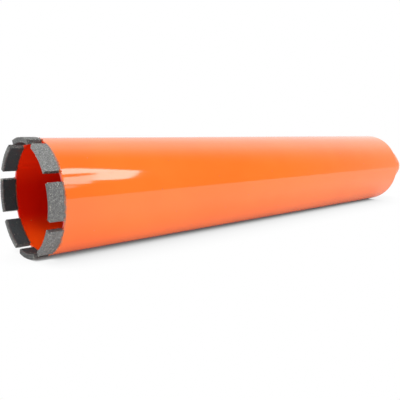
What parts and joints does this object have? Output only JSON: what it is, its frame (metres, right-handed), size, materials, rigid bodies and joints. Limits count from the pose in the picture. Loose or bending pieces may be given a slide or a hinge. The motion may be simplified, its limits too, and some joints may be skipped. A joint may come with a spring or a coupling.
{
  "type": "diamond core bit",
  "caption": "Long orange steel tube with curved diamond segments brazed round its open cutting end and a threaded hexagonal hub on its closed end.",
  "frame": {"origin": "on the barrel's axis, in the plane of the segment tips, with the bit standing on its cutting end", "axes": "+Z along the barrel's axis from the segment tips to the hub; +X through the middle of segment_1 and a corner of the hub's hexagon"},
  "size_m": [0.0812, 0.0812, 0.497],
  "materials": {
    "orange_paint": "gloss orange enamel on steel",
    "diamond_matrix": "grey sintered metal with diamond grit",
    "silver_braze": "dull silver braze"
  },
  "bodies": {
    "root": {"barrel": "orange_paint", "back_plate": "orange_paint", "hub": "orange_paint", "plate_weld": "orange_paint", "hub_weld": "orange_paint", "segment_1": "diamond_matrix", "segment_2": "diamond_matrix", "segment_3": "diamond_matrix", "segment_4": "diamond_matrix", "segment_5": "diamond_matrix", "segment_6": "diamond_matrix", "segment_7": "diamond_matrix", "segment_8": "diamond_matrix", "braze_seam_1": "silver_braze", "braze_seam_2": "silver_braze", "braze_seam_3": "silver_braze", "braze_seam_4": "silver_braze", "braze_seam_5": "silver_braze", "braze_seam_6": "silver_braze", "braze_seam_7": "silver_braze", "braze_seam_8": "silver_braze"}
  },
  "joints": []
}
